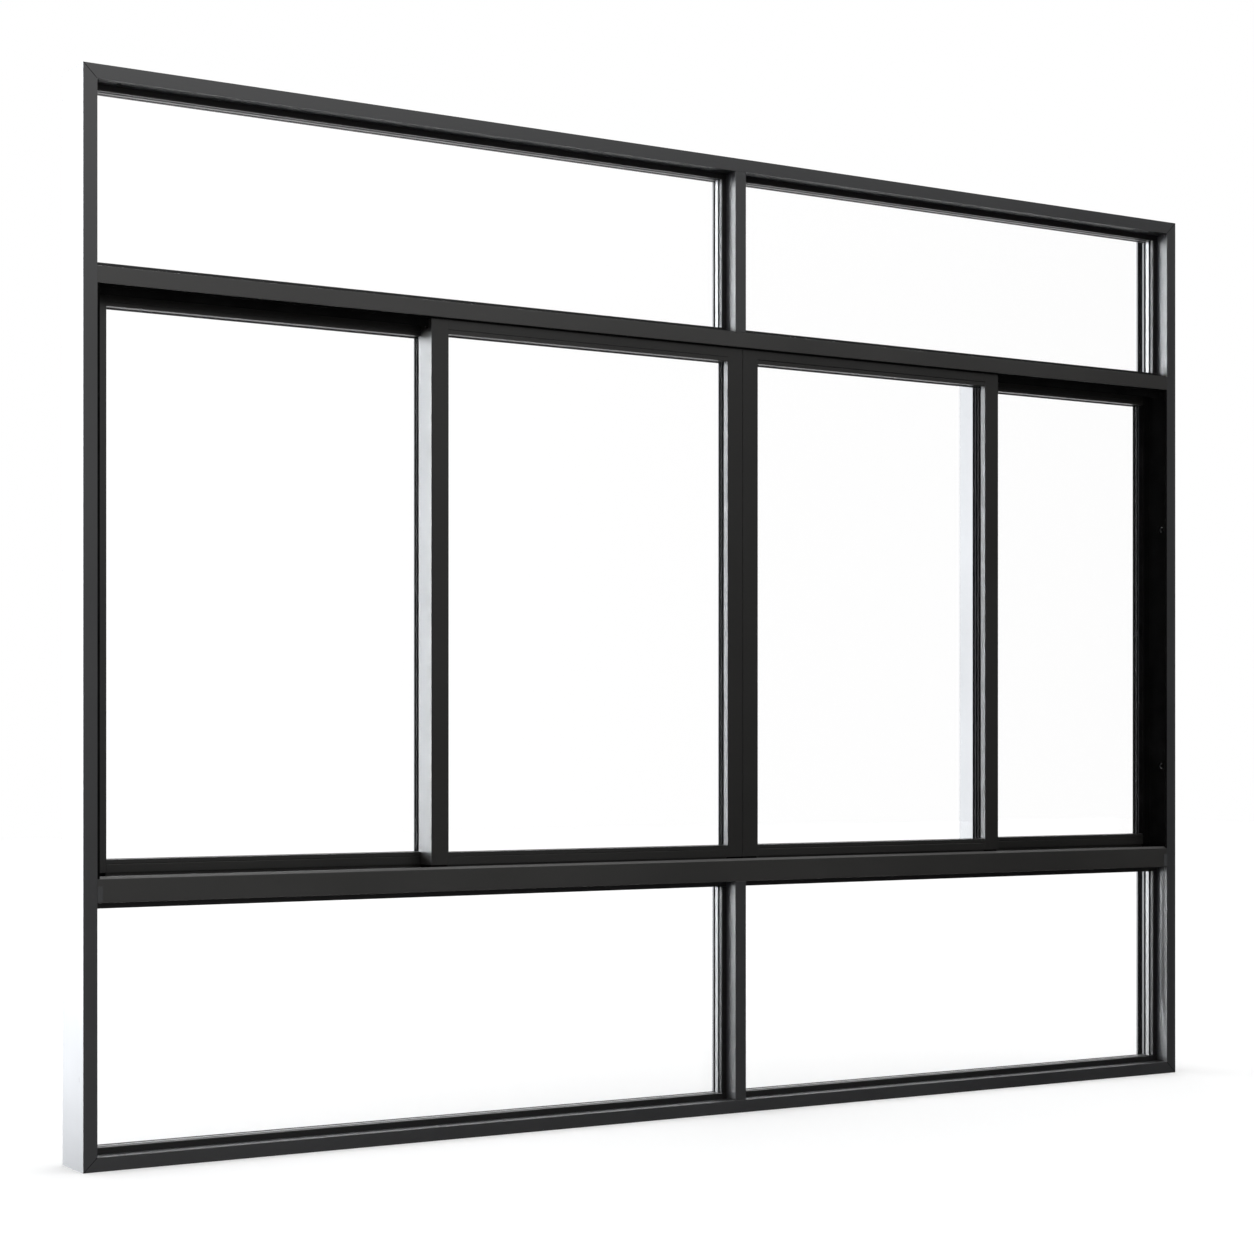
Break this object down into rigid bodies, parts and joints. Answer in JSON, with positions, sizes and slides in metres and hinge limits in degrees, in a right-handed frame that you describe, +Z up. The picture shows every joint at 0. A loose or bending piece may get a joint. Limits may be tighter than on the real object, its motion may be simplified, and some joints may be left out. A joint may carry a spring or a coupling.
{
  "type": "aluminium sliding window",
  "caption": "Black aluminium window: sliding double-glazed sashes on tracks between fixed lights above and below, with mullions, transoms and hollow frame members.",
  "frame": {"origin": "middle of the sill's flat underside", "axes": "+X along the window's width to the right as seen from the front, +Y from the front face towards the back, +Z up"},
  "size_m": [2.4, 0.1, 1.8],
  "materials": {
    "black_coating": "satin black powder coat on aluminium",
    "clear_glass": "clear",
    "gasket_rubber": "matte",
    "spacer_bar": "satin mill finish",
    "roller_nylon": "matte",
    "carriage_steel": "zinc plated"
  },
  "bodies": {
    "root": {"bead_posts_bottom": "black_coating", "bead_posts_top": "black_coating", "bead_rails_bottom": "black_coating", "bead_rails_top": "black_coating", "fixed_gaskets": "gasket_rubber", "fixed_spacers": "spacer_bar", "frame_head": "black_coating", "frame_jamb_left": "black_coating", "frame_jamb_right": "black_coating", "frame_sill": "black_coating", "glass_bottom_left": "clear_glass", "glass_bottom_right": "clear_glass", "glass_top_left": "clear_glass", "glass_top_right": "clear_glass", "glazing_posts_bottom": "black_coating", "glazing_posts_top": "black_coating", "glazing_rails_bottom": "black_coating", "glazing_rails_top": "black_coating", "mullion_lower": "black_coating", "mullion_upper": "black_coating", "roller_carriages": "carriage_steel", "roller_wheels": "roller_nylon", "sash_1_glass": "clear_glass", "sash_1_rails": "black_coating", "sash_1_stile_left": "black_coating", "sash_1_stile_right": "black_coating", "sash_2_glass": "clear_glass", "sash_2_rails": "black_coating", "sash_2_stile_left": "black_coating", "sash_2_stile_right": "black_coating", "sash_3_glass": "clear_glass", "sash_3_rails": "black_coating", "sash_3_stile_left": "black_coating", "sash_3_stile_right": "black_coating", "sash_4_glass": "clear_glass", "sash_4_rails": "black_coating", "sash_4_stile_left": "black_coating", "sash_4_stile_right": "black_coating", "sash_gaskets": "gasket_rubber", "sash_spacers": "spacer_bar", "track_jamb_left": "black_coating", "track_jamb_right": "black_coating", "transom_lower": "black_coating", "transom_upper": "black_coating"}
  },
  "joints": []
}
